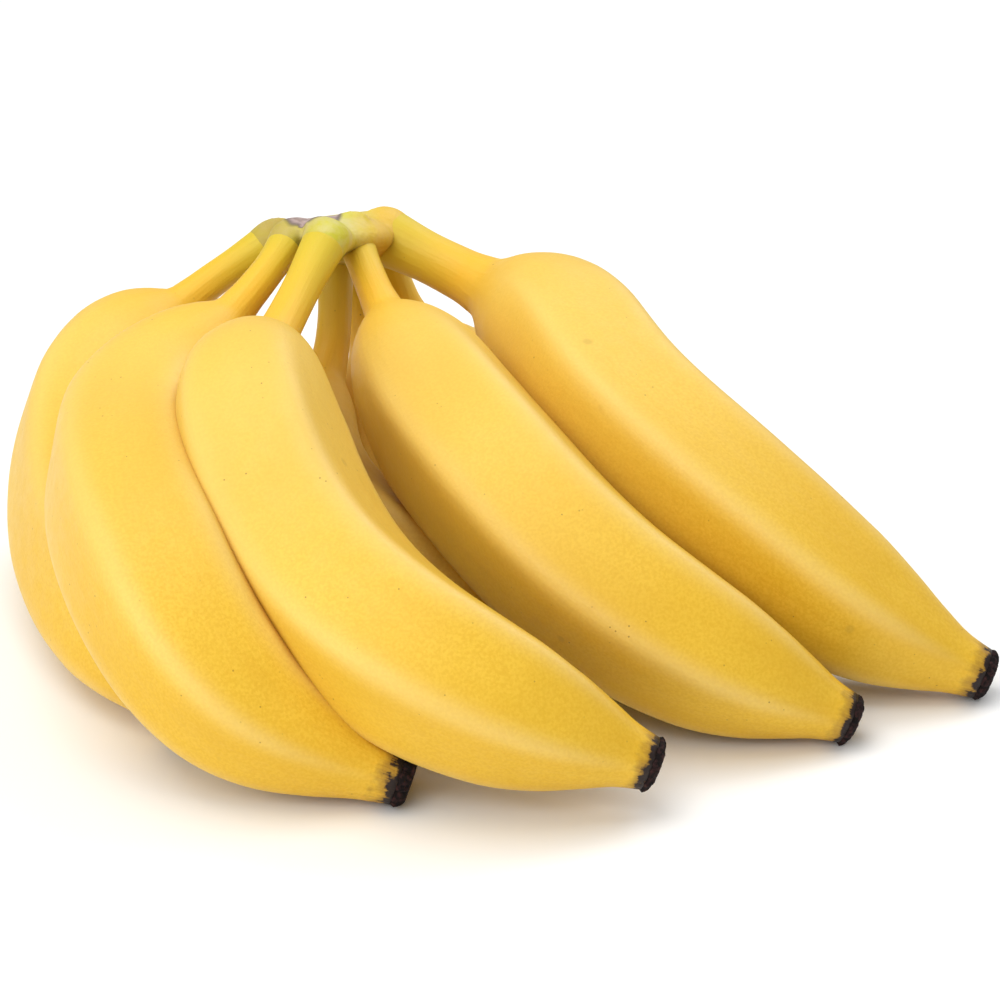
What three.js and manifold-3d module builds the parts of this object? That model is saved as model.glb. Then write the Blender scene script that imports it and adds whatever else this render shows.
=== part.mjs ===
// A bunch of eight bananas lying on a table: five outer fingers and three inner ones on one crown.
// Millimetres, +Z up. The table is z = 0 and the bunch is seen from -Y.
import * as THREE from "three";
import Module from "manifold-3d";

// Where the points of a finger's centre line stand, as shares of its length.
const LINE_SHARES = [0, 0.1, 0.2, 0.4, 0.6, 0.8, 1];

// The body of a finger, as [share of the length, share of its greatest radius]: a blunt shoulder,
// a long full middle and a tapered tip.
const BODY = [
  [0.118, 0],
  [0.122, 0.2],
  [0.128, 0.31],
  [0.135, 0.41],
  [0.145, 0.52],
  [0.155, 0.61],
  [0.17, 0.71],
  [0.19, 0.81],
  [0.21, 0.875],
  [0.24, 0.93],
  [0.3, 0.98],
  [0.42, 1],
  [0.55, 0.995],
  [0.66, 0.96],
  [0.76, 0.865],
  [0.84, 0.695],
  [0.9, 0.515],
  [0.95, 0.365],
  [1, 0.28],
];
// Its stalk, as [share of the length, share of the stalk's least radius]. It fades inside the body.
const STALK = [
  [0, 1.15],
  [0.05, 1],
  [0.09, 1.05],
  [0.13, 1.25],
  [0.25, 1.25],
  [0.35, 0],
  [1, 0],
];
// How closely the skin follows the larger of the two where the stalk meets the shoulder.
const JOIN_POWER = 4;

// The five blunt ridges of the peel: how sharp, and the shares of the length where they come and go.
const RIDGES = 5;
const RIDGE_POWER = 8;
const RIDGES_START = 0.14;
const RIDGES_FULL = 0.32;
const RIDGES_FADE = 0.8;

// The dry black flower end, a piece of its own beyond this share of the length.
const END_SHARE = 0.972;
const END_SWELL = 1.05;
const END_RIM = 0.72;
const END_DISH_MM = 1.2;

// The middle of the bunch in the points below, which becomes the origin on the table.
const MIDDLE_X = 17.1;
const MIDDLE_Y = 101.7;

// Pieces that grow into each other, or press on each other, stand this far apart.
const SEAM_MM = 0.3;

// Rings of the stalk and shoulder, as shares of the length, then how many follow to the tip.
const SHOULDER_RINGS = [0, 0.04, 0.08, 0.108, 0.12, 0.128, 0.139, 0.153, 0.17, 0.193, 0.225, 0.265];
const OUTER_BODY_RINGS = 17;
const OUTER_SIDES = 20;
const INNER_BODY_RINGS = 13;
const INNER_SIDES = 15;
const END_SIDES = 15;

// The crown: a low cushion of stalk with a thicker heel at the back, both cut off flat on top, and
// a collar that swells from them to each finger. They all melt into each other.
const CROWN_CENTRE = [-19, 166, 72.5];
const CROWN_HALF_SIZES = [14, 20, 6];
const HEEL_CENTRE = [-15, 177, 69];
const HEEL_HALF_SIZES = [14, 16, 8];
const CROWN_LEAN_DEG = 18.4;
const CROWN_CUT_NORMAL = [-0.12, 0.316, 0.941];
const CROWN_CUT_POINT = [-18, 167, 77.5];
const CROWN_MELT_MM = 4;
const CROWN_MESH_MM = 2.2;
const CROWN_BOX = { min: [-50, 128, 45], max: [12, 204, 96] };
const COLLAR_LENGTH_MM = 5;
const COLLAR_PROUD_MM = 0.5;
const COLLAR_ROOT_RADIUS = 6.5;
const COLLAR_ROOT_SHARE = 0.45;
const COLLAR_STEPS = 6;

const SKIN_COLOUR = "#e8bd3c";
const END_COLOUR = "#2a201c";
const CROWN_COLOUR = "#c3c64a";

// Each finger: girth, least thickness of its stalk, the turn of its ridges in degrees, and the
// points of its centre line from the crown to the tip.
// Where two fingers press on each other, the one that comes first here keeps its full form.
const FINGERS = [
  {
    name: "outer_3",
    outer: true,
    girth: 38,
    stalk: 8.8,
    turn: 45,
    line: [
      [-20, 141, 80], [-29, 115, 69], [-33, 91.5, 65.5], [-24, 60, 46.5],
      [-3, 33.5, 33], [26, 23, 21], [52, 20, 11],
    ],
  },
  {
    name: "outer_4",
    outer: true,
    girth: 37,
    stalk: 7.8,
    turn: -15,
    line: [[-14, 158, 76], [-8, 141, 67], [1, 122, 57], [18, 87, 47], [40, 65, 32], [69, 55, 16.5], [95, 52, 5]],
  },
  {
    name: "outer_5",
    outer: true,
    girth: 38,
    stalk: 12,
    turn: -20,
    line: [[-7, 172, 70.5], [13, 161, 64], [28, 147, 60], [43, 116, 52], [66, 93, 38], [97, 79, 18], [126, 73, 5]],
  },
  {
    name: "outer_2",
    outer: true,
    girth: 38.5,
    stalk: 7.6,
    turn: 36,
    line: [
      [-29, 148, 77], [-37.5, 134, 69.5], [-53, 120, 55], [-59, 80.5, 46.5],
      [-50, 49.5, 37.5], [-31, 30.5, 19], [1.5, 24, 5.3],
    ],
  },
  {
    name: "outer_1",
    outer: true,
    girth: 39,
    stalk: 8,
    turn: 0,
    line: [[-36, 183, 64.5], [-52, 176, 55], [-66, 168, 43], [-74, 141, 27], [-69, 107, 20], [-57, 71, 15], [-44, 49, 5.5]],
  },
  {
    name: "inner_1",
    outer: false,
    girth: 33,
    stalk: 8,
    turn: 0,
    line: [[-19, 171, 66], [-20, 157, 46], [-26, 141, 35], [-22, 116, 26], [-4, 101, 18], [24, 93, 13], [56, 89, 14]],
  },
  {
    name: "inner_2",
    outer: false,
    girth: 34,
    stalk: 8,
    turn: 20,
    line: [[-16, 181, 62], [-12, 176, 44], [-9, 162, 27], [5, 142, 18], [27, 125, 16], [56, 112, 14], [88, 104, 8]],
  },
  {
    name: "inner_3",
    outer: false,
    girth: 34,
    stalk: 8,
    turn: 40,
    line: [[-8, 189, 64], [-3, 190, 46], [9, 183, 30], [31, 169, 20], [54, 152, 17], [76, 133, 17], [95, 112, 20]],
  },
];

const wasm = await Module();
wasm.setup();
const { Manifold, Mesh } = wasm;

// A natural cubic spline through points at LINE_SHARES, as a function of the share of its length.
function spline(points) {
  const n = points.length - 1;
  const knots = points.map((p) => new THREE.Vector3(...p));
  const widths = LINE_SHARES.slice(1).map((share, i) => share - LINE_SHARES[i]);
  const bend = knots.map(() => new THREE.Vector3());
  const over = new Array(n + 1).fill(0);
  for (let i = 1; i < n; i++) {
    const rise = knots[i + 1].clone().sub(knots[i]).divideScalar(widths[i]);
    const fall = knots[i].clone().sub(knots[i - 1]).divideScalar(widths[i - 1]);
    const pivot = 2 * (widths[i - 1] + widths[i]) - widths[i - 1] * over[i - 1];
    over[i] = widths[i] / pivot;
    bend[i] = rise.sub(fall).multiplyScalar(6).addScaledVector(bend[i - 1], -widths[i - 1]).divideScalar(pivot);
  }
  for (let i = n - 1; i > 0; i--) bend[i].addScaledVector(bend[i + 1], -over[i]);
  return (share) => {
    let i = 0;
    while (i < n - 1 && share > LINE_SHARES[i + 1]) i++;
    const b = (share - LINE_SHARES[i]) / widths[i];
    const a = 1 - b;
    const curl = (widths[i] * widths[i]) / 6;
    return knots[i]
      .clone()
      .multiplyScalar(a)
      .addScaledVector(knots[i + 1], b)
      .addScaledVector(bend[i], (a * a * a - a) * curl)
      .addScaledVector(bend[i + 1], (b * b * b - b) * curl);
  };
}

// The value of a table of [share, value] at a share.
function lookUp(table, share) {
  if (share <= table[0][0]) return table[0][1];
  let i = 1;
  while (i < table.length - 1 && table[i][0] < share) i++;
  const [x0, y0] = table[i - 1];
  const [x1, y1] = table[i];
  return y0 + ((y1 - y0) * (share - x0)) / (x1 - x0);
}

function smoothstep(low, high, x) {
  const t = THREE.MathUtils.clamp((x - low) / (high - low), 0, 1);
  return t * t * (3 - 2 * t);
}

// The radius of a finger at a share of its length.
function radiusAt(finger, share) {
  const body = (finger.girth / 2) * lookUp(BODY, share);
  const stalk = (finger.stalk / 2) * lookUp(STALK, share);
  return (body ** JOIN_POWER + stalk ** JOIN_POWER) ** (1 / JOIN_POWER);
}

// How far the skin stands out at an angle, against a round section: a soft pentagon.
function ridgeFactor(angle, strength) {
  let sum = 0;
  for (let k = 0; k < RIDGES; k++) {
    const facing = Math.cos(angle - (k * 2 * Math.PI) / RIDGES);
    if (facing > 0) sum += facing ** RIDGE_POWER;
  }
  const pentagon = 0.95 * sum ** (-1 / RIDGE_POWER);
  return 1 + strength * (pentagon - 1);
}

// Centre, forward and two side directions at some shares of a finger, without twist.
function frames(finger, shares) {
  const at = spline(finger.line);
  const small = 1e-3;
  const steps = 120;
  const forwardAt = (s) => at(s + small).sub(at(s - small)).normalize();
  const start = forwardAt(0);
  let side = new THREE.Vector3(0, 0, 1).addScaledVector(start, -start.z).normalize();
  const sides = [side];
  for (let i = 1; i <= steps; i++) {
    const forward = forwardAt(i / steps);
    side = side.clone().addScaledVector(forward, -side.dot(forward)).normalize();
    sides.push(side);
  }
  return shares.map((share) => {
    const forward = forwardAt(share);
    const near = sides[Math.round(share * steps)];
    const u = near.clone().addScaledVector(forward, -near.dot(forward)).normalize();
    return { share, centre: at(share), forward, u, v: forward.clone().cross(u) };
  });
}

// Rings close together round the shoulder, and evenly spaced from there to the flower end.
function ringShares(finger) {
  const count = finger.outer ? OUTER_BODY_RINGS : INNER_BODY_RINGS;
  const from = SHOULDER_RINGS.at(-1);
  const body = Array.from({ length: count }, (_, i) => from + ((END_SHARE - from) * (i + 1)) / count);
  return [...SHOULDER_RINGS, ...body];
}

// A closed solid from rings of points that all have the same number of corners.
function loft(rings) {
  const sides = rings[0].length;
  const points = rings.flat();
  const triangles = [];
  for (let r = 0; r < rings.length - 1; r++) {
    for (let s = 0; s < sides; s++) {
      const a = r * sides + s;
      const b = r * sides + ((s + 1) % sides);
      triangles.push(a, b, b + sides, a, b + sides, a + sides);
    }
  }
  const first = points.length;
  const last = first + 1;
  for (const ring of [rings[0], rings.at(-1)])
    points.push(ring.reduce((sum, p) => sum.add(p), new THREE.Vector3()).divideScalar(sides));
  const end = (rings.length - 1) * sides;
  for (let s = 0; s < sides; s++) {
    const next = (s + 1) % sides;
    triangles.push(first, next, s, last, end + s, end + next);
  }
  return new Manifold(
    new Mesh({
      numProp: 3,
      vertProperties: new Float32Array(points.flatMap((p) => p.toArray())),
      triVerts: new Uint32Array(triangles),
    }),
  );
}

// One ring of skin round a finger, its radius scaled and grown.
function skinRing(finger, frame, sides, scale = 1, grow = 0, along = 0) {
  const strength =
    smoothstep(RIDGES_START, RIDGES_FULL, frame.share) * (1 - smoothstep(RIDGES_FADE, 1, frame.share));
  const turn = THREE.MathUtils.degToRad(finger.turn);
  const radius = radiusAt(finger, frame.share) * scale + grow;
  const ring = [];
  for (let s = 0; s < sides; s++) {
    const angle = (s * 2 * Math.PI) / sides;
    const r = radius * ridgeFactor(angle + Math.PI / RIDGES, strength);
    ring.push(
      frame.centre
        .clone()
        .addScaledVector(frame.forward, along)
        .addScaledVector(frame.u, r * Math.cos(angle + turn))
        .addScaledVector(frame.v, r * Math.sin(angle + turn)),
    );
  }
  return ring;
}

function fingerSolid(finger, grow = 0) {
  const sides = finger.outer ? OUTER_SIDES : INNER_SIDES;
  return loft(frames(finger, ringShares(finger)).map((frame) => skinRing(finger, frame, sides, 1, grow)));
}

function endSolid(finger) {
  const [root, middle, tip] = frames(finger, [END_SHARE, (END_SHARE + 1) / 2, 1]);
  return loft([
    skinRing(finger, root, END_SIDES, 0.98, 0, SEAM_MM),
    skinRing(finger, middle, END_SIDES, END_SWELL),
    skinRing(finger, tip, END_SIDES),
    skinRing(finger, tip, END_SIDES, END_RIM, 0, -END_DISH_MM),
  ]);
}

// The balls that a collar is strung from, from inside the crown to the end of a finger's stalk.
function collarBalls(finger) {
  const [base] = frames(finger, [0]);
  const root = new THREE.Vector3(...CROWN_CENTRE).lerp(base.centre, COLLAR_ROOT_SHARE);
  const back = base.centre.clone().addScaledVector(base.forward, -COLLAR_LENGTH_MM);
  return Array.from({ length: COLLAR_STEPS + 1 }, (_, i) => {
    const t = i / COLLAR_STEPS;
    const centre = root
      .clone()
      .multiplyScalar((1 - t) * (1 - t))
      .addScaledVector(back, 2 * t * (1 - t))
      .addScaledVector(base.centre, t * t);
    return { centre, radius: COLLAR_ROOT_RADIUS * (1 - t) + (radiusAt(finger, 0) + COLLAR_PROUD_MM) * t };
  });
}

// How deep a point lies inside a string of balls.
function depthInCollar(balls, point) {
  let depth = -Infinity;
  for (let i = 0; i < balls.length - 1; i++) {
    const along = balls[i + 1].centre.clone().sub(balls[i].centre);
    const t = THREE.MathUtils.clamp(point.clone().sub(balls[i].centre).dot(along) / along.lengthSq(), 0, 1);
    const radius = THREE.MathUtils.lerp(balls[i].radius, balls[i + 1].radius, t);
    depth = Math.max(depth, radius - balls[i].centre.clone().addScaledVector(along, t).distanceTo(point));
  }
  return depth;
}

// How deep a point lies inside a leaning ellipsoid.
function depthInLump(centre, halfSizes, point) {
  const local = point
    .clone()
    .sub(new THREE.Vector3(...centre))
    .applyAxisAngle(new THREE.Vector3(1, 0, 0), THREE.MathUtils.degToRad(CROWN_LEAN_DEG));
  const half = new THREE.Vector3(...halfSizes);
  const near = local.divide(half);
  const reach = near.length();
  return reach < 1e-6 ? Math.min(...halfSizes) : (reach * (1 - reach)) / near.divide(half).length();
}

// The larger of two depths, rounded where they are alike.
function melt(first, second) {
  const near = Math.max(CROWN_MELT_MM - Math.abs(first - second), 0);
  return Math.max(first, second) + (near * near) / (4 * CROWN_MELT_MM);
}

const COLLARS = FINGERS.map(collarBalls);

function crownSolid(grow) {
  const normal = new THREE.Vector3(...CROWN_CUT_NORMAL).normalize();
  const height = new THREE.Vector3(...CROWN_CUT_POINT).dot(normal);
  const depthAt = (place) => {
    const point = new THREE.Vector3(...place);
    const cushion = depthInLump(CROWN_CENTRE, CROWN_HALF_SIZES, point);
    const lump = melt(cushion, depthInLump(HEEL_CENTRE, HEEL_HALF_SIZES, point));
    const stump = Math.min(lump, height - point.dot(normal));
    return COLLARS.reduce((depth, balls) => melt(depth, depthInCollar(balls, point)), stump);
  };
  return Manifold.levelSet(depthAt, CROWN_BOX, CROWN_MESH_MM, -grow);
}

// The largest body that a cut leaves, flat where it meets the table.
function settled(solid) {
  const bodies = solid.trimByPlane([0, 0, 1], 0).decompose();
  return bodies.reduce((best, body) => (body.volume() > best.volume() ? body : best));
}

function addNode(group, name, solid, colour, roughness) {
  const mesh = solid.getMesh();
  const geometry = new THREE.BufferGeometry()
    .setAttribute("position", new THREE.BufferAttribute(mesh.vertProperties, mesh.numProp))
    .setIndex(new THREE.BufferAttribute(mesh.triVerts, 1));
  geometry.computeVertexNormals();
  const material = new THREE.MeshStandardMaterial({ color: colour, roughness, metalness: 0 });
  const node = new THREE.Mesh(geometry, material);
  node.name = name;
  group.add(node);
}

const bunch = new THREE.Group();
bunch.name = "bunch_of_bananas";
bunch.position.set(-MIDDLE_X, -MIDDLE_Y, 0);
addNode(bunch, "crown", settled(crownSolid(0)), CROWN_COLOUR, 0.6);

let taken = crownSolid(SEAM_MM);
for (const finger of FINGERS) {
  addNode(bunch, "finger_" + finger.name, settled(fingerSolid(finger).subtract(taken)), SKIN_COLOUR, 0.45);
  taken = taken.add(fingerSolid(finger, SEAM_MM));
}
for (const finger of FINGERS)
  addNode(bunch, "flower_end_" + finger.name, settled(endSolid(finger)), END_COLOUR, 0.85);

export default bunch;
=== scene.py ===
"""A hand of ripe bananas on a pale table: fine meshes, procedural finishes, lights and camera."""

import logging
import math
from dataclasses import dataclass, field
from enum import Enum
from random import Random

import bpy
import bmesh
from mathutils import Matrix, Vector

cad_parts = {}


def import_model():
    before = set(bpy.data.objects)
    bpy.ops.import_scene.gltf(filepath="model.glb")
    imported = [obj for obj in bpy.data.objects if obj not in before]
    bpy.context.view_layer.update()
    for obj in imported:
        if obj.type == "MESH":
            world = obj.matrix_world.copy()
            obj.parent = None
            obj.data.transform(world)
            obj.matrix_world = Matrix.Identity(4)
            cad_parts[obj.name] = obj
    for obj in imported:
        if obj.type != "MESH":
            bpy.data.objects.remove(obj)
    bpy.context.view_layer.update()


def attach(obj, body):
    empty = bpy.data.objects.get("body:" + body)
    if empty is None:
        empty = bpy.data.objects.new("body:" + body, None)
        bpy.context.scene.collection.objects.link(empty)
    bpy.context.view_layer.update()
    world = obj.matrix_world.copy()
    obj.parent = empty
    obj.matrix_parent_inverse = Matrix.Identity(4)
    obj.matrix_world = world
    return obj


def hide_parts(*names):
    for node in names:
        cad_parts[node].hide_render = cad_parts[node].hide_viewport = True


LOG = logging.getLogger("bananas")
MM = 0.001
# Length of a finger's line, and the share of it that the skin's pattern is squeezed into, so
# that the pattern is drawn out along the finger.
LINE_LENGTH_MM = 185.0
GRAIN_STRETCH = 0.35
# The finger lines are written from the corner of the table that they were set out on, in mm.
SET_OUT_X = 17.1
SET_OUT_Y = 101.7
CROWN_CENTRE = (-19.0, 166.0, 72.5)
# The crown leans down towards the back by this angle.
CROWN_LEAN = math.radians(18.4)
# Seed of the ragged rims.
RIM_SEED = 11

# Shares of the line at which the finger's points stand.
LINE_SHARES = (0.0, 0.1, 0.2, 0.4, 0.6, 0.8, 1.0)
# Share of the line, and the radius of the body there as a share of the greatest one.
BODY = (
    (0.118, 0.0),
    (0.122, 0.2),
    (0.128, 0.31),
    (0.135, 0.41),
    (0.145, 0.52),
    (0.155, 0.61),
    (0.17, 0.71),
    (0.19, 0.81),
    (0.21, 0.875),
    (0.24, 0.93),
    (0.3, 0.98),
    (0.42, 1.0),
    (0.55, 0.995),
    (0.66, 0.96),
    (0.76, 0.865),
    (0.84, 0.695),
    (0.9, 0.515),
    (0.95, 0.365),
    (1.0, 0.28),
)
# Share of the line, and the radius of the stalk there as a share of its thinnest one.
STALK = (
    (0.0, 1.15),
    (0.05, 1.0),
    (0.09, 1.05),
    (0.13, 1.25),
    (0.25, 1.25),
    (0.35, 0.0),
    (1.0, 0.0),
)
RIDGES = 5
# A higher power makes the ridges sharper.
RIDGE_POWER = 11
# Shares of the line over which the ridges rise by the stalk and fade by the tip.
RIDGES_RISE = (0.14, 0.32)
RIDGES_FADE = (0.8, 1.0)
# A higher power makes the painted highlight on the ridges narrower.
RIDGE_HIGHLIGHT_POWER = 6
# A higher power makes the join of stalk and body tighter.
JOIN_POWER = 4
# Radius of the flats between the ridges, as a share of a round finger's.
FLAT_SHARE = 0.93
# Radius of the fine skin, as a share of the radius that the solid's corners reach.
SKIN_SHARE = 0.985
# Where the peel ends on the line, a little over the root of the dry flower end.
PEEL_SHARE = 0.985

# What a node's input takes, and the rings of points that a tube is made of.
Value = float | tuple[float, ...] | bpy.types.NodeSocket
Rings = list[list[bmesh.types.BMVert]]


class Slot(Enum):
    """The record's material slots."""

    PEEL = "peel"
    CROWN = "crown"
    FLOWER_END = "flower_end"


def table_point(point: tuple[float, float, float]) -> Vector:
    """Turns a set-out point into the part's frame.

    Args:
        point: X, Y and Z in mm from the set-out corner.

    Returns:
        The point in metres.
    """
    return Vector((point[0] - SET_OUT_X, point[1] - SET_OUT_Y, point[2])) * MM


def linear(hex_colour: str) -> tuple[float, float, float, float]:
    """Turns an sRGB hex colour into linear light.

    Args:
        hex_colour: Six hex digits after a hash.

    Returns:
        Red, green, blue and an alpha of one.
    """
    parts = [int(hex_colour[i : i + 2], 16) / 255 for i in (1, 3, 5)]
    red, green, blue = [
        value / 12.92 if value <= 0.04045 else ((value + 0.055) / 1.055) ** 2.4 for value in parts
    ]
    return red, green, blue, 1.0


def smooth_step(low: float, high: float, value: float) -> float:
    """Rises smoothly from 0 at low to 1 at high.

    Args:
        low: Value at which it leaves 0.
        high: Value at which it reaches 1, which may be below low.
        value: Where to read it.

    Returns:
        A share from 0 to 1.
    """
    share = min(max((value - low) / (high - low), 0.0), 1.0)
    return share * share * (3 - 2 * share)


class Profile:
    """A smooth curve through (share, value) stops that never overshoots them."""

    def __init__(self, stops: tuple[tuple[float, float], ...]) -> None:
        """Finds the slope at each stop.

        Args:
            stops: Shares in rising order, each with its value.
        """
        self.stops = stops
        steps = [
            (after[1] - before[1]) / (after[0] - before[0])
            for before, after in zip(stops, stops[1:])
        ]
        self.slopes = [steps[0]]
        for before, after in zip(steps, steps[1:]):
            flat = before * after <= 0
            self.slopes.append(0.0 if flat else 2 * before * after / (before + after))
        self.slopes.append(steps[-1])

    def at(self, share: float) -> float:
        """Reads the curve.

        Args:
            share: Where to read it.

        Returns:
            The value there, held beyond the first and last stop.
        """
        if share <= self.stops[0][0]:
            return self.stops[0][1]
        for index in range(len(self.stops) - 1):
            start, end = self.stops[index], self.stops[index + 1]
            if share <= end[0]:
                width = end[0] - start[0]
                t = (share - start[0]) / width
                return (
                    (2 * t**3 - 3 * t**2 + 1) * start[1]
                    + (t**3 - 2 * t**2 + t) * self.slopes[index] * width
                    + (3 * t**2 - 2 * t**3) * end[1]
                    + (t**3 - t**2) * self.slopes[index + 1] * width
                )
        return self.stops[-1][1]


BODY_PROFILE = Profile(BODY)
STALK_PROFILE = Profile(STALK)


def ridge_factor(angle: float, strength: float) -> float:
    """How far the skin stands out round the finger.

    Args:
        angle: Angle round it in radians.
        strength: How clear the ridges are, from 0 to 1.

    Returns:
        A scale of the radius, one for a round finger.
    """
    total = sum(
        max(0.0, math.cos(angle - 2 * math.pi * k / RIDGES)) ** RIDGE_POWER for k in range(RIDGES)
    )
    return 1 + strength * (FLAT_SHARE * total ** (-1 / RIDGE_POWER) - 1)


class Line:
    """A smooth curve through knots at LINE_SHARES, with a frame that doesn't twist."""

    STEPS = 240
    NEAR = 0.001

    def __init__(self, knots: list[Vector]) -> None:
        """Solves the curve and carries the frame along it.

        Args:
            knots: The points it passes, in metres.
        """
        self.knots = knots
        self.bends = self._solve()
        self.frames: list[tuple[Vector, Vector]] = []
        forward = self.tangent(0.0)
        up = Vector((0, 0, 1))
        side = (up - forward * up.dot(forward)).normalized()
        for step in range(self.STEPS + 1):
            forward = self.tangent(step / self.STEPS)
            side = (side - forward * side.dot(forward)).normalized()
            self.frames.append((side.copy(), forward.cross(side)))

    def _solve(self) -> list[Vector]:
        """Solves the natural spline.

        Returns:
            Second derivatives at the knots, zero at both ends.
        """
        count = len(self.knots)
        widths = [after - before for before, after in zip(LINE_SHARES, LINE_SHARES[1:])]
        bends = [Vector((0, 0, 0)) for _ in range(count)]
        shares = [0.0] * count
        parts = [Vector((0, 0, 0)) for _ in range(count)]
        for i in range(1, count - 1):
            before, after = widths[i - 1], widths[i]
            rise = (self.knots[i + 1] - self.knots[i]) / after
            fall = (self.knots[i] - self.knots[i - 1]) / before
            pivot = 2 * (before + after) - before * shares[i - 1]
            shares[i] = after / pivot
            parts[i] = ((rise - fall) * 6 - parts[i - 1] * before) / pivot
        for i in range(count - 2, 0, -1):
            bends[i] = parts[i] - bends[i + 1] * shares[i]
        return bends

    def point(self, share: float) -> Vector:
        """Reads the curve.

        Args:
            share: Share of the line, which may lie a little past its ends.

        Returns:
            The point in metres.
        """
        i = 0
        while i < len(LINE_SHARES) - 2 and share > LINE_SHARES[i + 1]:
            i += 1
        width = LINE_SHARES[i + 1] - LINE_SHARES[i]
        b = (share - LINE_SHARES[i]) / width
        a = 1 - b
        return (
            self.knots[i] * a
            + self.knots[i + 1] * b
            + (self.bends[i] * (a**3 - a) + self.bends[i + 1] * (b**3 - b)) * width * width / 6
        )

    def tangent(self, share: float) -> Vector:
        """The direction of the line at a share of it."""
        return (self.point(share + self.NEAR) - self.point(share - self.NEAR)).normalized()

    def frame(self, share: float) -> tuple[Vector, Vector]:
        """Reads the frame.

        Args:
            share: Share of the line.

        Returns:
            Two directions across the line there.
        """
        place = min(max(share, 0.0), 1.0) * self.STEPS
        i = min(int(place), self.STEPS - 1)
        first, second = self.frames[i], self.frames[i + 1]
        t = place - i
        return (
            first[0].lerp(second[0], t).normalized(),
            first[1].lerp(second[1], t).normalized(),
        )


@dataclass
class Finger:
    """One banana: its centre line, thickness and ridges.

    Attributes:
        name: The CAD node that it stands for, without its prefix.
        girth: Greatest thickness across in mm.
        stalk: Least thickness of its stalk in mm.
        turn: Roll of the ridges in degrees.
        knots: Set-out points of the centre line in mm.
        rings: Rings along the line.
        sides: Points round it.
    """

    name: str
    girth: float
    stalk: float
    turn: float
    knots: list[tuple[float, float, float]]
    rings: int = 170
    sides: int = 90
    line: Line = field(init=False)

    def __post_init__(self) -> None:
        """Draws the centre line."""
        self.line = Line([table_point(knot) for knot in self.knots])

    def radius(self, share: float) -> float:
        """Radius at a share of the line, in metres."""
        body = self.girth / 2 * BODY_PROFILE.at(share)
        stalk = self.stalk / 2 * STALK_PROFILE.at(share)
        joined = (body**JOIN_POWER + stalk**JOIN_POWER) ** (1 / JOIN_POWER)
        return joined * SKIN_SHARE * MM

    def strength(self, share: float) -> float:
        """How clear the ridges are there, from 0 to 1."""
        return smooth_step(*RIDGES_RISE, share) * (1 - smooth_step(*RIDGES_FADE, share))

    def skin_point(self, share: float, angle: float, swell: float = 1.0) -> Vector:
        """A point on the skin.

        Args:
            share: Share of the line.
            angle: Angle round it in radians, from a ridge.
            swell: Scale of the radius.

        Returns:
            The point in metres, never below the table.
        """
        side, across = self.line.frame(share)
        factor = ridge_factor(angle + math.pi / RIDGES, self.strength(share))
        turned = angle + math.radians(self.turn)
        reach = self.radius(share) * factor * swell
        spoke = side * math.cos(turned) + across * math.sin(turned)
        point = self.line.point(share) + spoke * reach
        return Vector((point.x, point.y, max(point.z, 0.0)))

    def build(self) -> bpy.types.Object:
        """Builds the peel as one closed skin, with the places on it and the painted highlight on
        its ridges kept as attributes.

        Returns:
            The peel's object.
        """
        builder = bmesh.new()
        along = builder.verts.layers.float.new("along")
        ridge_highlight = builder.verts.layers.float.new("ridge_highlight")
        round_place = builder.verts.layers.float_vector.new("peel_place")
        reach = self.girth / 2 * MM
        stretch = LINE_LENGTH_MM * GRAIN_STRETCH * MM
        offset = self.knots[0][0] * MM
        rings = []
        for i in range(self.rings + 1):
            share = PEEL_SHARE * i / self.rings
            ring = []
            for k in range(self.sides):
                angle = 2 * math.pi * k / self.sides
                vert = builder.verts.new(self.skin_point(share, angle))
                vert[along] = share
                # Strength of the painted highlight along the ridges.
                wave = 0.5 + 0.5 * math.cos(angle * RIDGES)
                vert[ridge_highlight] = wave**RIDGE_HIGHLIGHT_POWER * self.strength(share)
                turned = angle + math.radians(self.turn)
                vert[round_place] = Vector(
                    (math.cos(turned) * reach, math.sin(turned) * reach, share * stretch + offset)
                )
                ring.append(vert)
            rings.append(ring)
        bridge(builder, rings)
        builder.faces.new(rings[-1])
        return mesh_object(f"peel_{self.name}", builder)


def bridge(builder: bmesh.types.BMesh, rings: Rings) -> None:
    """Joins rings into a tube and closes it at the first one.

    Args:
        builder: The mesh that holds them.
        rings: Rings with the same number of points.
    """
    sides = len(rings[0])
    for lower, upper in zip(rings, rings[1:]):
        for k in range(sides):
            after = (k + 1) % sides
            builder.faces.new((lower[k], lower[after], upper[after], upper[k]))
    builder.faces.new(list(reversed(rings[0])))


def mesh_object(name: str, builder: bmesh.types.BMesh) -> bpy.types.Object:
    """Turns a bmesh into a smooth-shaded object in the scene.

    Args:
        name: The object's name.
        builder: The mesh, which is freed.

    Returns:
        The object.
    """
    bmesh.ops.recalc_face_normals(builder, faces=builder.faces)
    mesh = bpy.data.meshes.new(name)
    builder.to_mesh(mesh)
    builder.free()
    for polygon in mesh.polygons:
        polygon.use_smooth = True
    piece = bpy.data.objects.new(name, mesh)
    bpy.context.scene.collection.objects.link(piece)
    return piece


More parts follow.
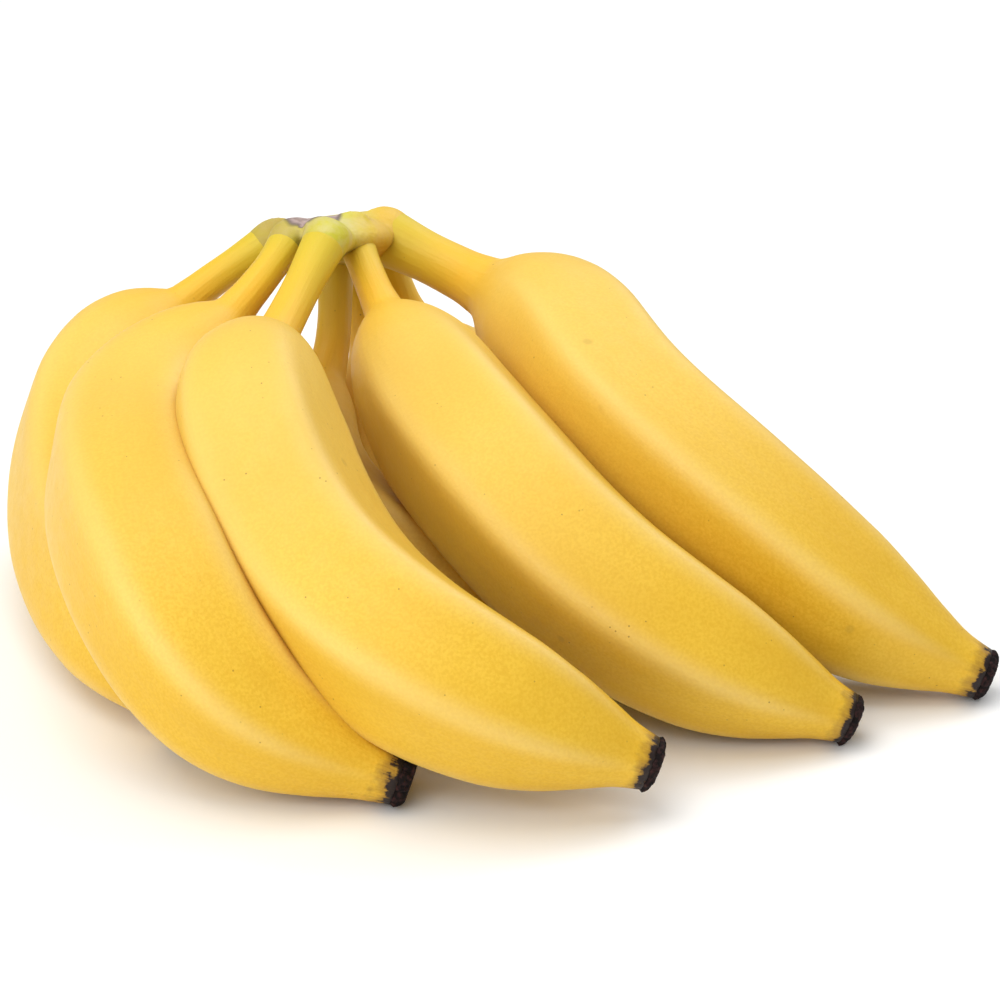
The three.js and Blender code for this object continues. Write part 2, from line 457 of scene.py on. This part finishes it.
FINGERS = (
    Finger(
        "outer_3",
        girth=38,
        stalk=8.8,
        turn=45,
        knots=[
            (-20, 141, 80),
            (-29, 115, 69),
            (-33, 91.5, 65.5),
            (-24, 60, 46.5),
            (-3, 33.5, 33),
            (26, 23, 21),
            (52, 20, 11),
        ],
    ),
    Finger(
        "outer_4",
        girth=37,
        stalk=7.8,
        turn=-15,
        knots=[
            (-14, 158, 76),
            (-8, 141, 67),
            (1, 122, 57),
            (18, 87, 47),
            (40, 65, 32),
            (69, 55, 16.5),
            (95, 52, 5),
        ],
    ),
    Finger(
        "outer_5",
        girth=38,
        stalk=12,
        turn=-28,
        knots=[
            (-7, 172, 70.5),
            (13, 161, 64),
            (28, 147, 60),
            (43, 116, 52),
            (66, 93, 38),
            (97, 79, 18),
            (126, 73, 5),
        ],
    ),
    Finger(
        "outer_2",
        girth=38.5,
        stalk=7.6,
        turn=36,
        knots=[
            (-29, 148, 77),
            (-37.5, 134, 69.5),
            (-53, 120, 55),
            (-59, 80.5, 46.5),
            (-50, 49.5, 37.5),
            (-31, 30.5, 19),
            (1.5, 24, 5.3),
        ],
    ),
    Finger(
        "outer_1",
        girth=39,
        stalk=8,
        turn=0,
        knots=[
            (-36, 183, 64.5),
            (-52, 176, 55),
            (-66, 168, 43),
            (-74, 141, 27),
            (-69, 107, 20),
            (-57, 71, 15),
            (-44, 49, 5.5),
        ],
    ),
    Finger(
        "inner_1",
        girth=33,
        stalk=8,
        turn=0,
        knots=[
            (-19, 171, 66),
            (-20, 157, 46),
            (-26, 141, 35),
            (-22, 116, 26),
            (-4, 101, 18),
            (24, 93, 13),
            (56, 89, 14),
        ],
    ),
    Finger(
        "inner_2",
        girth=34,
        stalk=8,
        turn=20,
        knots=[
            (-16, 181, 62),
            (-12, 176, 44),
            (-9, 162, 27),
            (5, 142, 18),
            (27, 125, 16),
            (56, 112, 14),
            (88, 104, 8),
        ],
    ),
    Finger(
        "inner_3",
        girth=34,
        stalk=8,
        turn=40,
        knots=[
            (-8, 189, 64),
            (-3, 190, 46),
            (9, 183, 30),
            (31, 169, 20),
            (54, 152, 17),
            (76, 133, 17),
            (95, 112, 20),
        ],
    ),
)


@dataclass
class FlowerEnd:
    """The dry black remains of the flower on a finger's tip.

    Attributes:
        finger: The finger that it sits on.
        swell: Scale of its middle.
        rim: Scale of its open edge.
        dish: Depth of the dished face in mm.
        sides: Points round it.
        waves: How many times each wave of the ragged edge goes round.
        wave_starts: Least and greatest start of a wave, as an angle in radians.
        wave_sizes: Least and greatest size of a wave.
        wave_calm: What the sum of the waves is divided by.
        face_rings: Rings on the dished face, as shares of the way out.
        face_rag: How ragged the face's edge is.
        face_rough: How uneven the dish is.
        pit: Depth of the dish's middle as a share of its depth.
        facing_share: Share of the line whose direction the face follows.
    """

    finger: Finger
    swell: float = 1.03
    rim: float = 0.74
    dish: float = 1.5
    sides: int = 64
    waves: tuple[int, ...] = (3, 5, 8, 13, 21)
    wave_starts: tuple[float, float] = (0.0, 6.28)
    wave_sizes: tuple[float, float] = (0.3, 1.0)
    wave_calm: float = 3.0
    face_rings: tuple[float, ...] = (0.8, 0.55, 0.3)
    face_rag: float = 0.13
    face_rough: float = 0.25
    pit: float = 0.6
    facing_share: float = 0.995

    def build(self, dice: Random) -> bpy.types.Object:
        """Builds the end with a ragged rim.

        Args:
            dice: Seeded source of the rim's shape.

        Returns:
            The end's object.
        """
        builder = bmesh.new()
        drawn = [
            (count, dice.uniform(*self.wave_starts), dice.uniform(*self.wave_sizes))
            for count in self.waves
        ]

        def rag(angle: float) -> float:
            """How far the edge stands out at an angle, about zero."""
            heights = (size * math.sin(count * angle + start) for count, start, size in drawn)
            return sum(heights) / self.wave_calm

        # Share of the line, scale of the radius and raggedness.
        outline = (
            (0.973, 0.88, 0.0),
            (0.982, 0.95, 0.02),
            (0.986, 0.99, 0.07),
            (0.99, self.swell, 0.12),
            (0.994, 0.97, 0.15),
            (0.998, 0.87, 0.18),
            (1.0, self.rim, 0.2),
        )
        rings = []
        for share, scale, rough in outline:
            ring = []
            for k in range(self.sides):
                angle = 2 * math.pi * k / self.sides
                ragged = scale * (1 + rough * rag(angle))
                ring.append(builder.verts.new(self.finger.skin_point(share, angle, ragged)))
            rings.append(ring)
        forward = self.finger.line.tangent(self.facing_share)
        middle = self.finger.line.point(1.0)
        for inward in self.face_rings:
            ring = []
            for k in range(self.sides):
                angle = 2 * math.pi * k / self.sides
                ragged = self.rim * (1 + self.face_rag * rag(angle))
                edge = self.finger.skin_point(1.0, angle, ragged)
                uneven = 1 + self.face_rough * rag(angle + inward)
                depth = self.dish * MM * (1 - inward**2) * uneven
                point = middle.lerp(edge, inward) - forward * depth
                ring.append(builder.verts.new(point))
            rings.append(ring)
        bridge(builder, rings)
        centre = builder.verts.new(middle - forward * self.dish * MM * self.pit)
        for k in range(self.sides):
            builder.faces.new((rings[-1][k], rings[-1][(k + 1) % self.sides], centre))
        return mesh_object(f"dry_end_{self.finger.name}", builder)


@dataclass(frozen=True)
class Lump:
    """A leaning ellipsoid of stalk.

    Attributes:
        centre: Set-out point of its middle in mm.
        half: Half sizes in mm.
    """

    centre: tuple[float, float, float]
    half: tuple[float, float, float]

    def build(self, cut_normal: Vector, cut_point: Vector) -> bpy.types.Object:
        """Builds it, pressed flat at the knife's cut.

        Args:
            cut_normal: Direction that the cut faces.
            cut_point: A point on the cut.

        Returns:
            The lump's object.
        """
        builder = bmesh.new()
        bmesh.ops.create_icosphere(builder, subdivisions=5, radius=MM)
        size = Matrix.Diagonal(Vector((*self.half, 1.0)))
        lean = Matrix.Rotation(-CROWN_LEAN, 4, "X")
        place = Matrix.Translation(table_point(self.centre))
        bmesh.ops.transform(builder, matrix=place @ lean @ size, verts=builder.verts)
        for vert in builder.verts:
            above = (vert.co - cut_point).dot(cut_normal)
            if above > 0:
                vert.co -= cut_normal * above
        return mesh_object("crown_lump", builder)


@dataclass
class Crown:
    """The cushion of stalk with a collar for each finger, grown together.

    Attributes:
        fingers: The fingers that it carries.
        lumps: The cushion and its heel.
        voxel: Size of the remesh in mm.
        proud: How far a collar stands out round its stalk in mm.
        cut_point: Set-out point on the knife's cut in mm.
        cut_normal: Direction that the cut faces.
        scar_middle: Set-out point in the middle of the dry scar in mm.
        scar_half: Half its width and depth in mm.
        scar_facing: How far its skin turns towards the cut, from its edge to its middle.
        scar_edge: Where it ends and where it is whole, as shares of its half sizes.
        collar_rings: Rings along a collar.
        collar_sides: Points round a collar.
        root_share: Where a collar's root lies, between the cushion's middle and its finger.
        root_radius: Radius of the root in mm.
        bend_back: How far behind the finger's base a collar bends, in mm.
        cap_rings: Rings of the round cap inside the finger, as shares of its radius.
        softening: Rounds of smoothing after the parts are fused.
        soften_factor: Strength of each round.
    """

    fingers: tuple[Finger, ...]
    lumps: tuple[Lump, ...] = (
        Lump(CROWN_CENTRE, (14.0, 20.0, 6.0)),
        Lump((-15.0, 177.0, 69.0), (14.0, 16.0, 8.0)),
    )
    voxel: float = 0.6
    proud: float = 0.25
    cut_point: tuple[float, float, float] = (-18.0, 167.0, 77.5)
    cut_normal: tuple[float, float, float] = (-0.12, 0.316, 0.941)
    scar_middle: tuple[float, float, float] = (-23.5, 162.0, 77.5)
    scar_half: tuple[float, float] = (6.5, 17.0)
    scar_facing: tuple[float, float] = (0.6, 0.85)
    scar_edge: tuple[float, float] = (1.25, 0.8)
    collar_rings: int = 18
    collar_sides: int = 32
    root_share: float = 0.45
    root_radius: float = 6.5
    bend_back: float = 5.0
    cap_rings: tuple[float, ...] = (0.35, 0.7, 0.95)
    softening: int = 12
    soften_factor: float = 0.5

    def _collar(self, finger: Finger) -> bpy.types.Object:
        """Builds one collar.

        Args:
            finger: The finger whose base it holds.

        Returns:
            A tube from inside the cushion to the base, round at its end.
        """
        base = finger.line.point(0.0)
        forward = finger.line.tangent(0.0)
        root = table_point(CROWN_CENTRE).lerp(base, self.root_share)
        back = base - forward * self.bend_back * MM
        radius = finger.radius(0.0) + self.proud * MM
        side, across = finger.line.frame(0.0)
        stations = []
        for i in range(self.collar_rings + 1):
            t = i / self.collar_rings
            point = root * (1 - t) ** 2 + back * 2 * t * (1 - t) + base * t**2
            stations.append((point, self.root_radius * MM * (1 - t) + radius * t))
        for beyond in self.cap_rings:
            stations.append((base + forward * radius * beyond, radius * math.sqrt(1 - beyond**2)))
        angles = [2 * math.pi * k / self.collar_sides for k in range(self.collar_sides)]
        spokes = [side * math.cos(angle) + across * math.sin(angle) for angle in angles]
        builder = bmesh.new()
        rings = [
            [builder.verts.new(point + spoke * reach) for spoke in spokes]
            for point, reach in stations
        ]
        bridge(builder, rings)
        builder.faces.new(rings[-1])
        return mesh_object(f"crown_collar_{finger.name}", builder)

    def build(self) -> bpy.types.Object:
        """Fuses the lumps and the collars into one skin, and marks the dry cut.

        Returns:
            The crown's object.
        """
        normal = Vector(self.cut_normal).normalized()
        through = table_point(self.cut_point)
        parts = [lump.build(normal, through) for lump in self.lumps]
        parts += [self._collar(finger) for finger in self.fingers]
        builder = bmesh.new()
        for part in parts:
            builder.from_mesh(part.data)
            bpy.data.objects.remove(part)
        crown = mesh_object("crown_stalk", builder)
        fuse = crown.modifiers.new("fuse", "REMESH")
        fuse.mode = "VOXEL"
        fuse.voxel_size = self.voxel * MM
        soften = crown.modifiers.new("soften", "SMOOTH")
        soften.factor = self.soften_factor
        soften.iterations = self.softening
        apply_modifiers(crown)
        self._mark(crown, normal)
        return crown

    def _mark(self, crown: bpy.types.Object, normal: Vector) -> None:
        """Marks the dry part of the cut face.

        Args:
            crown: The fused crown.
            normal: Direction that the cut faces.
        """
        scar = crown.data.attributes.new("scar", "FLOAT", "POINT")
        middle = table_point(self.scar_middle)
        for vertex in crown.data.vertices:
            across = (vertex.co.x - middle.x) / (self.scar_half[0] * MM)
            deep = (vertex.co.y - middle.y) / (self.scar_half[1] * MM)
            facing = smooth_step(*self.scar_facing, vertex.normal.dot(normal))
            within = smooth_step(*self.scar_edge, math.hypot(across, deep))
            scar.data[vertex.index].value = facing * within
        for polygon in crown.data.polygons:
            polygon.use_smooth = True


def apply_modifiers(piece: bpy.types.Object) -> None:
    """Bakes a piece's modifiers into its mesh.

    Args:
        piece: The object.
    """
    graph = bpy.context.evaluated_depsgraph_get()
    baked = bpy.data.meshes.new_from_object(piece.evaluated_get(graph))
    piece.modifiers.clear()
    piece.data = baked


class Graph:
    """A small writer of material node trees."""

    NEAR_SAMPLES = 6

    def __init__(self, name: str) -> None:
        """Starts a material with a principled shader.

        Args:
            name: The material's name.
        """
        self.material = bpy.data.materials.new(name)
        self.material.use_nodes = True
        self.tree = self.material.node_tree
        self.shader = self.tree.nodes["Principled BSDF"]

    def add(
        self, kind: str, links: dict[str | int, Value] | None = None, **settings: object
    ) -> bpy.types.Node:
        """Adds one node.

        Args:
            kind: The node's type name, without its ShaderNode prefix.
            links: Input name or number to a value or an output socket.
            settings: Properties of the node.

        Returns:
            The node.
        """
        node = self.tree.nodes.new(f"ShaderNode{kind}")
        for key, value in settings.items():
            setattr(node, key, value)
        for key, value in (links or {}).items():
            if isinstance(value, bpy.types.NodeSocket):
                self.tree.links.new(value, node.inputs[key])
            else:
                node.inputs[key].default_value = value
        return node

    def noise(self, place: Value, size_mm: float, detail: float = 3) -> bpy.types.NodeSocket:
        """Adds cloudy noise.

        Args:
            place: Where to read it, in metres.
            size_mm: Size of its features.
            detail: Number of finer layers.

        Returns:
            Its value, from 0 to 1.
        """
        scale = 1 / (size_mm * MM)
        node = self.add("TexNoise", {"Vector": place, "Scale": scale, "Detail": detail})
        return node.outputs["Fac"]

    def cells(self, place: Value, size_mm: float) -> bpy.types.NodeSocket:
        """Adds scattered cells.

        Args:
            place: Where to read them, in metres.
            size_mm: Size of a cell.

        Returns:
            The distance to the nearest cell's middle.
        """
        scale = 1 / (size_mm * MM)
        node = self.add("TexVoronoi", {"Vector": place, "Scale": scale, "Randomness": 1.0})
        return node.outputs["Distance"]

    def ramp(self, value: Value, *stops: tuple[float, float]) -> bpy.types.NodeSocket:
        """Turns a value into another through grey stops.

        Args:
            value: The value.
            stops: Values in rising order, each with what it becomes.

        Returns:
            The new value.
        """
        node = self.add("ValToRGB", {"Fac": value})
        elements = node.color_ramp.elements
        while len(elements) > len(stops):
            elements.remove(elements[-1])
        while len(elements) < len(stops):
            elements.new(1.0)
        for element, (place, grey) in zip(elements, stops):
            element.position = place
            element.color = (grey, grey, grey, 1)
        return node.outputs["Color"]

    def rise(self, value: Value, low: float, high: float) -> bpy.types.NodeSocket:
        """Goes from 0 at low to 1 at high."""
        return self.ramp(value, (low, 0), (high, 1))

    def fall(self, value: Value, low: float, high: float) -> bpy.types.NodeSocket:
        """Goes from 1 at low to 0 at high."""
        return self.ramp(value, (low, 1), (high, 0))

    def span(self, value: Value, low: float, high: float) -> bpy.types.NodeSocket:
        """Goes from 0 at low to 1 at high, for places in metres on either side of zero."""
        node = self.add("MapRange", {"Value": value, "From Min": low, "From Max": high})
        return node.outputs["Result"]

    def mix(self, share: Value, first: Value, second: Value) -> bpy.types.NodeSocket:
        """Mixes two colours.

        Args:
            share: Share of the second.
            first: The colour under it.
            second: The colour over it.

        Returns:
            The mixed colour.
        """
        node = self.add("Mix", {0: share, 6: first, 7: second}, data_type="RGBA")
        return node.outputs[2]

    def tint(self, skin: Value, mask: Value, strength: float, over: str) -> bpy.types.NodeSocket:
        """Lays a colour over the skin.

        Args:
            skin: The colour so far.
            mask: Where it goes, from 0 to 1.
            strength: How much of it goes on where the mask is 1.
            over: Its hex colour.

        Returns:
            The new colour.
        """
        return self.mix(self.math("MULTIPLY", mask, strength), skin, linear(over))

    def math(self, operation: str, first: Value, second: Value) -> bpy.types.NodeSocket:
        """Does one sum.

        Args:
            operation: Its name.
            first: The first value.
            second: The second value.

        Returns:
            The result.
        """
        node = self.add("Math", {0: first, 1: second}, operation=operation)
        return node.outputs[0]

    def nearness(self, reach_mm: float) -> bpy.types.NodeSocket:
        """Finds out how crowded the surface is, as a mask for painted shade.

        Args:
            reach_mm: How far to look.

        Returns:
            The share of the view from the surface that things within reach take up.
        """
        links = {"Distance": reach_mm * MM}
        node = self.add("AmbientOcclusion", links, samples=self.NEAR_SAMPLES)
        return self.math("SUBTRACT", 1.0, node.outputs["AO"])

    def attribute(self, name: str, output: str = "Fac") -> bpy.types.NodeSocket:
        """Reads a mesh attribute as a value or, by its output's name, as a place."""
        return self.add("Attribute", attribute_name=name).outputs[output]

    def place(self) -> bpy.types.NodeSocket:
        """The place in the object, in metres."""
        return self.add("TexCoord").outputs["Object"]

    def bump(
        self, height: Value, depth_mm: float, before: bpy.types.NodeSocket | None = None
    ) -> bpy.types.NodeSocket:
        """Turns a height into relief.

        Args:
            height: The height, from 0 to 1.
            depth_mm: What a height of 1 stands for.
            before: Relief that it lies on.

        Returns:
            The normal.
        """
        links = {"Height": height, "Strength": 1.0, "Distance": depth_mm * MM}
        if before is not None:
            links["Normal"] = before
        return self.add("Bump", links).outputs["Normal"]

    def set(self, **values: Value) -> None:
        """Sets or links the shader's inputs, with underscores for spaces."""
        for key, value in values.items():
            name = key.replace("_", " ")
            if isinstance(value, bpy.types.NodeSocket):
                self.tree.links.new(value, self.shader.inputs[name])
            else:
                self.shader.inputs[name].default_value = value


@dataclass(frozen=True)
class PeelFinish:
    """Ripe yellow banana skin.

    Attributes:
        lit: Pale creamy yellow of the main faces.
        deep: Warmer yellow of the mottling.
        ridge_highlight: Painted highlight, a pale creamy tone along the ridges.
        neck_half_painted_light: Painted light, a paler creamy tone on the half by the neck, which
            stands higher.
        neck: More saturated yellow of the neck.
        green: Tinge where the neck leaves the crown.
        bruise: Brown of flecks and of the ring by the flower end.
        crease_painted_shade: Painted shade, orange brown, where fingers press on each other or lie
            near the table.
        char: Near black strokes at the flower end.
    """

    lit: str = "#e3b937"
    deep: str = "#d19f1a"
    ridge_highlight: str = "#ead088"
    neck_half_painted_light: str = "#e6c466"
    neck: str = "#e6b42b"
    green: str = "#cbb62e"
    bruise: str = "#6b4420"
    crease_painted_shade: str = "#a8650f"
    char: str = "#231612"

    def make(self) -> bpy.types.Material:
        """Smooth waxy skin as it grew, with painted shade in its creases and painted light on its
        ridges and its neck half: it gives the eye a soft broad sheen and fine freckles.

        Returns:
            The material.
        """
        graph = Graph("banana_skin_waxy_ripe")
        place = graph.place()
        grown = graph.attribute("peel_place", "Vector")
        along = graph.attribute("along")
        skin = linear(self.lit)
        clouds = graph.rise(graph.noise(grown, size_mm=16), low=0.3, high=0.7)
        grain = graph.rise(graph.noise(place, size_mm=0.7), low=0.38, high=0.62)
        # Painted light: the half of the finger by the neck, which stands higher, is made paler and
        # creamier.
        neck_half_painted_light = graph.fall(along, low=0.25, high=0.7)
        neck = graph.fall(along, low=0.1, high=0.2)
        green = graph.fall(along, low=0.01, high=0.1)
        # Painted shade: orange brown darkening where other fingers or the table are near.
        shade = graph.rise(graph.nearness(reach_mm=5), low=0.45, high=0.95)
        skin = graph.tint(skin, clouds, strength=0.45, over=self.deep)
        skin = graph.tint(skin, grain, strength=0.45, over=self.deep)
        # Painted highlight: a pale creamy tone along the ridges.
        skin = graph.tint(skin, graph.attribute("ridge_highlight"), strength=0.35, over=self.ridge_highlight)
        skin = graph.tint(skin, neck_half_painted_light, strength=0.5, over=self.neck_half_painted_light)
        skin = graph.tint(skin, neck, strength=0.85, over=self.neck)
        skin = graph.tint(skin, green, strength=0.85, over=self.green)
        skin = graph.tint(skin, shade, strength=0.6, over=self.crease_painted_shade)
        worn = self._worn(graph, place, grown, along)
        brown = graph.rise(worn, low=0.978, high=1.0)
        burnt = graph.rise(worn, low=0.996, high=1.0)
        skin = graph.tint(skin, brown, strength=0.75, over=self.bruise)
        skin = graph.tint(skin, burnt, strength=1.0, over=self.char)
        skin = graph.tint(skin, self._freckles(graph, place), strength=0.6, over=self.bruise)
        relief = graph.bump(graph.noise(place, size_mm=0.6), depth_mm=0.05)
        relief = graph.bump(graph.noise(grown, size_mm=1.6), depth_mm=0.08, before=relief)
        relief = graph.bump(graph.noise(grown, size_mm=8, detail=2), depth_mm=0.25, before=relief)
        sheen = graph.ramp(graph.noise(place, size_mm=4, detail=4), (0.3, 0.42), (0.7, 0.54))
        graph.set(
            Base_Color=skin,
            Roughness=sheen,
            Normal=relief,
            Subsurface_Weight=0.1,
            Subsurface_Radius=(0.003, 0.0018, 0.0006),
            Subsurface_Scale=1.0,
            Specular_IOR_Level=0.32,
        )
        return graph.material

    def _worn(self, graph: Graph, place: Value, grown: Value, along: Value) -> bpy.types.NodeSocket:
        """Finds how near the skin is to the worn tip, unevenly.

        Args:
            graph: The material.
            place: The place in the object.
            grown: The place on the skin as it grew, drawn out along the finger.
            along: Share of the finger's line.

        Returns:
            The share of the line, pushed towards 1 in patches and strokes.
        """
        patches = graph.math("MULTIPLY", graph.noise(place, size_mm=2.4, detail=5), 0.032)
        strokes = graph.math("MULTIPLY", graph.noise(grown, size_mm=1.3, detail=4), 0.012)
        return graph.math("ADD", along, graph.math("ADD", patches, strokes))

    def _freckles(self, graph: Graph, place: Value) -> bpy.types.NodeSocket:
        """Scatters sparse brown specks and a few larger, fainter flecks.

        Args:
            graph: The material.
            place: The place in the object.

        Returns:
            A mask, 1 on a speck.
        """
        specks = graph.fall(graph.cells(place, size_mm=2.8), low=0.05, high=0.09)
        patchy = graph.rise(graph.noise(place, size_mm=9), low=0.5, high=0.62)
        few = graph.math("MULTIPLY", specks, patchy)
        ragged = graph.math("MULTIPLY", graph.noise(place, size_mm=1.4, detail=4), 0.06)
        edge = graph.math("ADD", graph.cells(place, size_mm=19), ragged)
        flecks = graph.fall(edge, low=0.07, high=0.1)
        return graph.math("MAXIMUM", few, graph.math("MULTIPLY", flecks, 0.3))


@dataclass(frozen=True)
class CrownFinish:
    """Yellow-green stalk tissue with one dry cut face.

    Attributes:
        fresh: Yellow-green of the skin.
        bloom: Pale grey-green bloom in patches.
        olive: Duller green-brown towards the first finger.
        gold: Riper yellow towards the last finger.
        crevice_shade_and_cracks: Dark brown of the painted shade between the stalks and of the
            cracks in the dry cut.
        dry: Pinkish grey of the dried cut.
        char: Near black of the bits along its edge.
    """

    fresh: str = "#c4bc28"
    bloom: str = "#cdc27a"
    olive: str = "#ab9238"
    gold: str = "#dcae2c"
    crevice_shade_and_cracks: str = "#4a2f0e"
    dry: str = "#b39c96"
    char: str = "#2c211c"

    def make(self) -> bpy.types.Material:
        """Stalk skin with a dried knife cut and painted shade between the stalks: it gives the eye
        a dull bloom and dark cracks.

        Returns:
            The material.
        """
        graph = Graph("banana_stalk_cut_and_dried")
        place = graph.place()
        scar = graph.attribute("scar")
        across = graph.add("SeparateXYZ", {"Vector": place}).outputs["X"]
        clouds = graph.rise(graph.noise(place, size_mm=5, detail=4), low=0.35, high=0.6)
        left = graph.span(across, low=-0.036, high=-0.048)
        right = graph.span(across, low=-0.033, high=-0.025)
        # Painted shade: dark brown darkening where the stalks crowd together.
        shade = graph.rise(graph.nearness(reach_mm=7), low=0.3, high=0.8)
        face = graph.rise(graph.noise(place, size_mm=2.2, detail=5), low=0.42, high=0.7)
        rim = graph.ramp(scar, (0.1, 0), (0.4, 0.6), (0.6, 0.6), (0.9, 0))
        skin = graph.mix(clouds, linear(self.fresh), linear(self.bloom))
        skin = graph.tint(skin, left, strength=0.75, over=self.olive)
        skin = graph.tint(skin, right, strength=0.8, over=self.gold)
        skin = graph.tint(skin, shade, strength=0.85, over=self.crevice_shade_and_cracks)
        cut = graph.tint(linear(self.dry), face, strength=0.5, over=self.crevice_shade_and_cracks)
        skin = graph.mix(graph.rise(scar, low=0.3, high=0.6), skin, cut)
        skin = graph.mix(rim, skin, linear(self.char))
        relief = graph.bump(graph.noise(place, size_mm=1.5, detail=5), depth_mm=0.3)
        graph.set(
            Base_Color=skin,
            Roughness=0.6,
            Normal=relief,
            Subsurface_Weight=0.08,
            Subsurface_Radius=(0.003, 0.002, 0.0008),
            Subsurface_Scale=1.0,
        )
        return graph.material


@dataclass(frozen=True)
class DryEndFinish:
    """Shrivelled black flower remains.

    Attributes:
        black: Main tone.
        ash: Purple-grey of the raised fibres.
    """

    black: str = "#120b0a"
    ash: str = "#3c2322"

    def make(self) -> bpy.types.Material:
        """Fibres that dried in the air: they give the eye a matt crumbly black.

        Returns:
            The material.
        """
        graph = Graph("banana_flower_dried_black")
        fibres = graph.noise(graph.place(), size_mm=1.1, detail=6)
        raised = graph.rise(fibres, low=0.45, high=0.7)
        skin = graph.mix(raised, linear(self.black), linear(self.ash))
        relief = graph.bump(fibres, depth_mm=0.6)
        graph.set(Base_Color=skin, Roughness=0.9, Normal=relief, Specular_IOR_Level=0.2)
        return graph.material


@dataclass(frozen=True)
class TableFinish:
    """Plain pale table top.

    Attributes:
        white: Its colour.
        grey: Faint cloud in it.
    """

    white: str = "#f4f4f3"
    grey: str = "#e6e6e4"

    def make(self) -> bpy.types.Material:
        """Matt painted board: it gives the eye a plain ground with soft shadow.

        Returns:
            The material.
        """
        graph = Graph("painted_board_matt")
        grain = graph.noise(graph.place(), size_mm=3, detail=2)
        paint = graph.tint(linear(self.white), grain, strength=0.03, over=self.grey)
        graph.set(Base_Color=paint, Roughness=0.8)
        return graph.material


@dataclass(frozen=True)
class AreaLight:
    """A square soft light that faces the bunch.

    Attributes:
        name: Its name.
        place: Its place in metres.
        size: Its side in metres.
        watts: Its power.
        aim: The point that it faces, in metres.
    """

    name: str
    place: tuple[float, float, float]
    size: float
    watts: float
    aim: tuple[float, float, float] = (0.0, -0.01, 0.035)

    def build(self) -> None:
        """Adds it to the scene."""
        data = bpy.data.lights.new(self.name, "AREA")
        data.size = self.size
        data.energy = self.watts
        light = bpy.data.objects.new(self.name, data)
        light.location = self.place
        facing = Vector(self.aim) - Vector(self.place)
        light.rotation_euler = facing.to_track_quat("-Z", "Y").to_euler()
        bpy.context.scene.collection.objects.link(light)


@dataclass
class Studio:
    """Pale floor, soft lights and the camera.

    Attributes:
        floor_half: Half the side of the floor in metres.
        lights: A key above, a light behind, and fills from the left and the front.
        room_white: Colour of the room's light.
        room_strength: Its strength.
        elevation: Camera's height angle above the table in degrees.
        distance: Camera's distance from its target in metres.
        target: The point that it faces, in metres.
        shift: How far the picture is moved on the sensor, as shares of its width.
        lens: Focal length in mm.
        sensor: Width of the sensor in mm.
        near: Nearest thing that the camera sees, in metres.
    """

    floor_half: float = 6.0
    lights: tuple[AreaLight, ...] = (
        AreaLight("key_above", (-0.3, -0.1, 1.1), size=0.9, watts=7.2),
        AreaLight("rim_behind", (0.45, 0.6, 0.8), size=0.8, watts=5.0),
        AreaLight("fill_left", (-0.95, -0.75, 0.4), size=0.9, watts=5.0),
        AreaLight("fill_front", (-0.3, -0.95, 0.75), size=0.7, watts=4.3),
    )
    room_white: str = "#ffffff"
    room_strength: float = 0.43
    elevation: float = 24.0
    distance: float = 0.85
    target: tuple[float, float, float] = (0.0039, -0.0117, 0.035)
    shift: tuple[float, float] = (-0.0064, 0.0192)
    lens: float = 140.76
    sensor: float = 36.0
    near: float = 0.01

    def build(self) -> None:
        """Adds all of it to the scene."""
        self._floor()
        for light in self.lights:
            light.build()
        self._room()
        self._camera()

    def _floor(self) -> None:
        """Adds a wide pale board with its top at the table height."""
        builder = bmesh.new()
        bmesh.ops.create_grid(builder, x_segments=8, y_segments=8, size=self.floor_half)
        floor = mesh_object("floor", builder)
        floor.data.materials.append(TableFinish().make())

    def _room(self) -> None:
        """Lights the bunch evenly from all round, with plain tones."""
        world = bpy.data.worlds.new("pale_room")
        world.use_nodes = True
        background = world.node_tree.nodes["Background"]
        background.inputs["Color"].default_value = linear(self.room_white)
        background.inputs["Strength"].default_value = self.room_strength
        bpy.context.scene.world = world
        bpy.context.scene.view_settings.view_transform = "Standard"

    def _camera(self) -> None:
        """Adds the photograph's view, from the front and a little above."""
        data = bpy.data.cameras.new("camera")
        data.lens = self.lens
        data.sensor_width = self.sensor
        data.clip_start = self.near
        data.shift_x, data.shift_y = self.shift
        camera = bpy.data.objects.new("camera", data)
        lift = math.radians(self.elevation)
        back = Vector((0, -math.cos(lift), math.sin(lift))) * self.distance
        camera.location = Vector(self.target) + back
        camera.rotation_euler = (math.radians(90 - self.elevation), 0, 0)
        bpy.context.scene.collection.objects.link(camera)
        bpy.context.scene.camera = camera


def dress(piece: bpy.types.Object, material: bpy.types.Material, slot: Slot, *nodes: str) -> None:
    """Gives a piece its finish and ties it to the frame.

    Args:
        piece: The object.
        material: Its finish.
        slot: The record's slot that it stands for; not used.
        nodes: The CAD nodes that it replaces.
    """
    piece.data.materials.clear()
    piece.data.materials.append(material)
    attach(piece, "root")
    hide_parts(*nodes)
    LOG.info("%s: %d faces", piece.name, len(piece.data.polygons))


def main() -> None:
    """Builds the bunch, the table and the camera, in that order."""
    logging.basicConfig(level=logging.INFO, format="%(name)s %(message)s")
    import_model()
    peel = PeelFinish().make()
    dry = DryEndFinish().make()
    dice = Random(RIM_SEED)
    for finger in FINGERS:
        dress(finger.build(), peel, Slot.PEEL, f"finger_{finger.name}")
        end = FlowerEnd(finger).build(dice)
        dress(end, dry, Slot.FLOWER_END, f"flower_end_{finger.name}")
    crown = Crown(FINGERS).build()
    dress(crown, CrownFinish().make(), Slot.CROWN, "crown")
    Studio().build()


if __name__ == "__main__":
    main()
